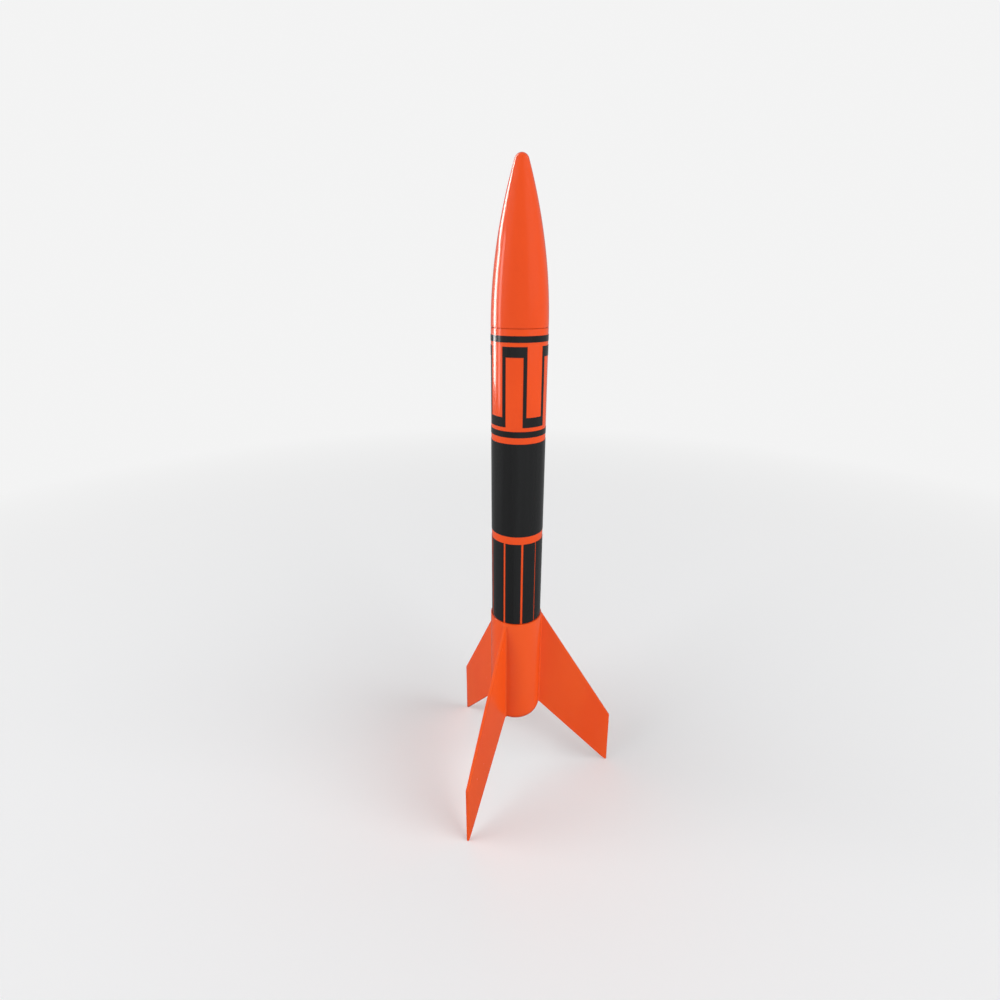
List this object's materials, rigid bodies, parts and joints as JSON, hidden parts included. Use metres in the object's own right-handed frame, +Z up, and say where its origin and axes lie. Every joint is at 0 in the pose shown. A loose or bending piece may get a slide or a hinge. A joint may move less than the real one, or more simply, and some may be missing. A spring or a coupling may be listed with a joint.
{
  "type": "model rocket",
  "caption": "Small flying model rocket with a pull-off nose cone, paper tube, swept-fin can, sliding engine and packed parachute gear.",
  "frame": {"origin": "centre of the bounding box on the floor, under the fin tips that the rocket stands on", "axes": "+Z up along the rocket's length to the nose, -Y towards the viewer, +X to the right; the tube's axis stands at x -11.37 mm, y +2.40 mm"},
  "size_m": [0.0874, 0.096, 0.3112],
  "materials": {
    "orange_plastic": "glossy moulded plastic",
    "orange_tube": "glossy coated paper tube",
    "black_film": "glossy self-adhesive film",
    "white_paper": "smooth white paper",
    "kraft_paper": "spirally wound kraft paper",
    "fibre_card": "pressed fibre card",
    "spring_steel": "bright spring steel",
    "motor_paper": "rolled kraft paper",
    "clay": "pressed dry clay",
    "black_powder": "pressed powder",
    "tissue": "crumpled tissue",
    "elastic_cord": "braided elastic",
    "canopy_film": "thin plastic film, chequered",
    "white_thread": "twisted thread"
  },
  "bodies": {
    "airframe": {"fin_can": "orange_plastic", "body_tube": "orange_tube", "launch_lug": "white_paper", "engine_mount_tube": "kraft_paper", "engine_block": "kraft_paper", "front_centering_ring": "fibre_card", "rear_centering_ring": "fibre_card", "hook_retainer_ring": "fibre_card", "recovery_wadding": "tissue", "shock_cord_coil": "elastic_cord", "shock_cord_tail": "elastic_cord", "shock_cord_mount": "white_paper"},
    "nose": {"nose_cone": "orange_plastic", "nose_base": "orange_plastic", "shock_cord_riser": "elastic_cord"},
    "parachute": {"parachute_canopy": "canopy_film", "shroud_line_wrap": "white_thread", "shroud_line_bundle": "white_thread"},
    "engine": {"motor_casing": "motor_paper", "nozzle": "clay", "propellant_grain": "black_powder", "delay_train": "black_powder", "ejection_charge": "black_powder", "clay_cap": "clay"},
    "hook": {"engine_hook": "spring_steel"}
  },
  "joints": [
    {"name": "nose_slide", "type": "slide", "parent": "airframe", "child": "nose", "axis": [0, 0, 1], "range_m": [0, 0.045], "deforming": ["shock_cord_riser"]},
    {"name": "parachute_trail", "type": "slide", "parent": "nose", "child": "parachute", "axis": [0, 0, -1], "range_m": [0, 0.009], "deforming": ["shroud_line_bundle"]},
    {"name": "engine_slide", "type": "slide", "parent": "airframe", "child": "engine", "axis": [0, 0, -1], "range_m": [0, 0.036]},
    {"name": "hook_flex", "type": "hinge", "parent": "airframe", "child": "hook", "pos_m": [-0.0073, 0.01115, 0.06], "axis": [0.907, -0.421, 0], "range_deg": [0, 7], "deforming": ["engine_hook"]}
  ],
  "couplings": [
    {"joint": "parachute_trail", "follows": "nose_slide", "ratio": 0.2},
    {"joint": "hook_flex", "follows": "engine_slide", "rad_per_m": 3.15}
  ]
}
